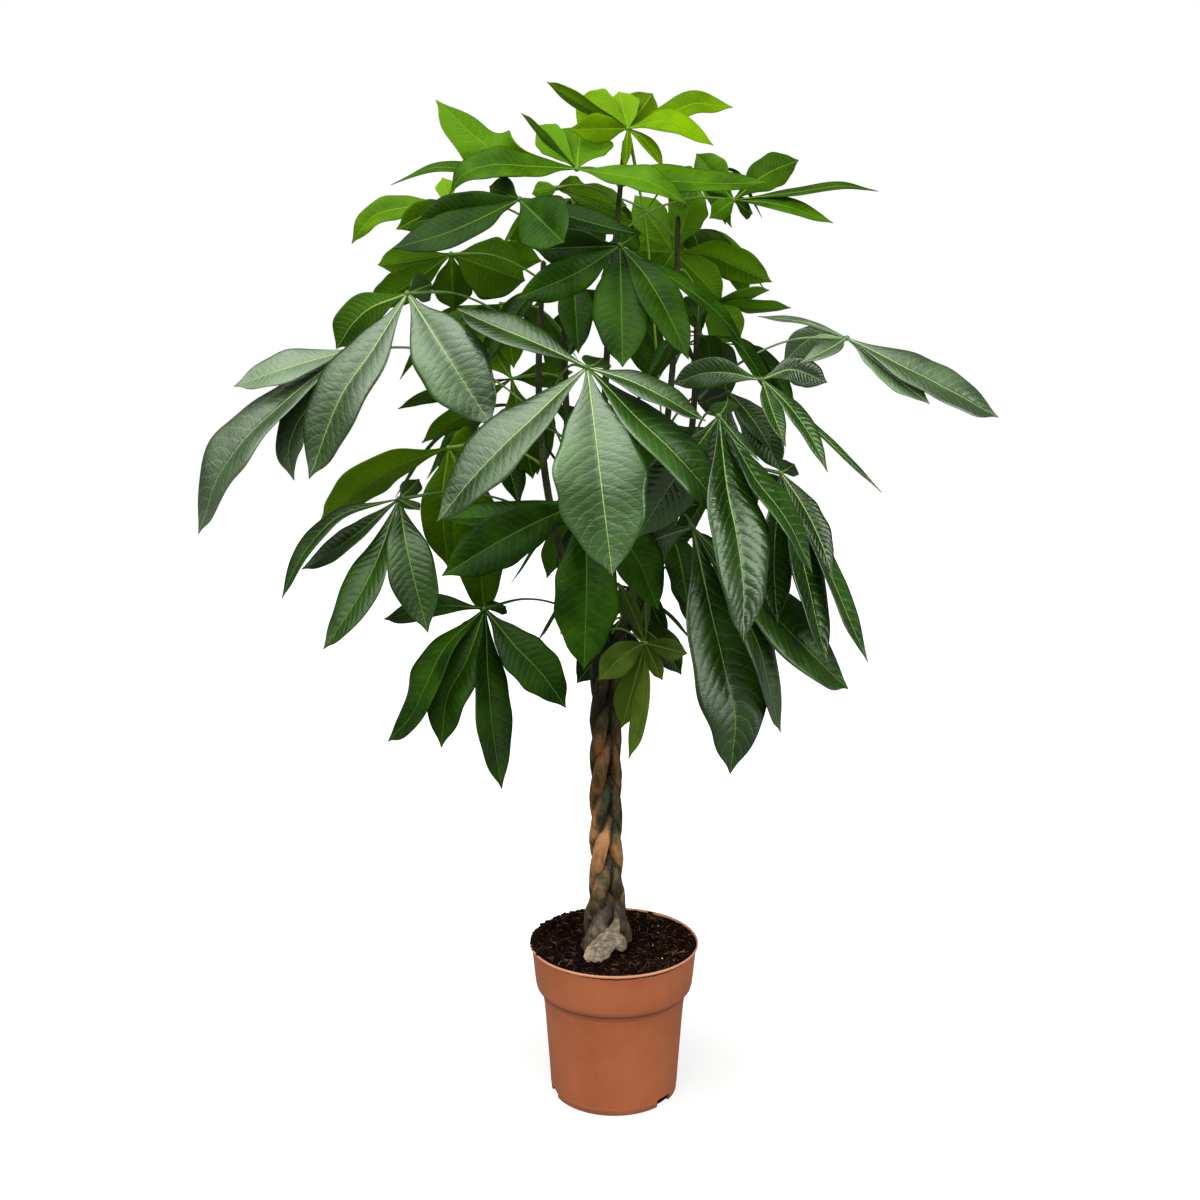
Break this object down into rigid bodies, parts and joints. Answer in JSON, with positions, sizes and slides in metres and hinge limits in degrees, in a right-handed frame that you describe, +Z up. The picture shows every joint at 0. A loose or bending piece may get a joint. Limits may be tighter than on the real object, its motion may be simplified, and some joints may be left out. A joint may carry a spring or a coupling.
{
  "type": "potted money tree",
  "caption": "Braided-trunk money tree with palm-shaped glossy leaves, standing in soil in a round terracotta-coloured plastic nursery pot.",
  "frame": {"origin": "centre of the pot's underside, on the floor", "axes": "+Z up along the trunk, the tree's front faces -Y, +X to the right of a viewer in front"},
  "size_m": [1.0345, 0.8659, 1.3923],
  "materials": {
    "terracotta_plastic": "satin",
    "potting_soil": "matte",
    "bark": "matte",
    "leaf_mature": "gloss",
    "leaf_mid": "satin",
    "leaf_young": "satin"
  },
  "bodies": {
    "root": {"leaf_back_1": "leaf_mid", "leaf_back_10": "leaf_mature", "leaf_back_11": "leaf_mature", "leaf_back_12": "leaf_mature", "leaf_back_2": "leaf_mid", "leaf_back_3": "leaf_mid", "leaf_back_4": "leaf_mature", "leaf_back_5": "leaf_mature", "leaf_back_6": "leaf_mature", "leaf_back_7": "leaf_mature", "leaf_back_8": "leaf_mature", "leaf_back_9": "leaf_mature", "leaf_back_left": "leaf_mid", "leaf_back_left_high": "leaf_mid", "leaf_back_right": "leaf_mid", "leaf_back_right_high": "leaf_mid", "leaf_behind_middle_left": "leaf_mature", "leaf_behind_trunk_top": "leaf_mature", "leaf_far_left": "leaf_mature", "leaf_far_right": "leaf_mature", "leaf_front_centre": "leaf_mature", "leaf_front_left": "leaf_mature", "leaf_front_right": "leaf_mature", "leaf_inner_left_high": "leaf_mature", "leaf_inner_right": "leaf_mature", "leaf_inner_right_high": "leaf_mature", "leaf_inner_right_low": "leaf_mature", "leaf_inner_top_right": "leaf_mid", "leaf_low_left": "leaf_mature", "leaf_low_right": "leaf_mature", "leaf_middle_front": "leaf_mature", "leaf_middle_left": "leaf_mature", "leaf_right": "leaf_mature", "leaf_right_hanging": "leaf_mature", "leaf_top": "leaf_young", "leaf_top_back": "leaf_mid", "leaf_top_front": "leaf_young", "leaf_top_left": "leaf_young", "leaf_top_right": "leaf_mid", "leaf_trunk_top": "leaf_young", "leaf_upper_centre": "leaf_mature", "leaf_upper_left": "leaf_mature", "pot": "terracotta_plastic", "soil": "potting_soil", "stem_centre": "bark", "stem_left_back": "bark", "stem_left_front": "bark", "stem_right_back": "bark", "stem_right_front": "bark"}
  },
  "joints": []
}
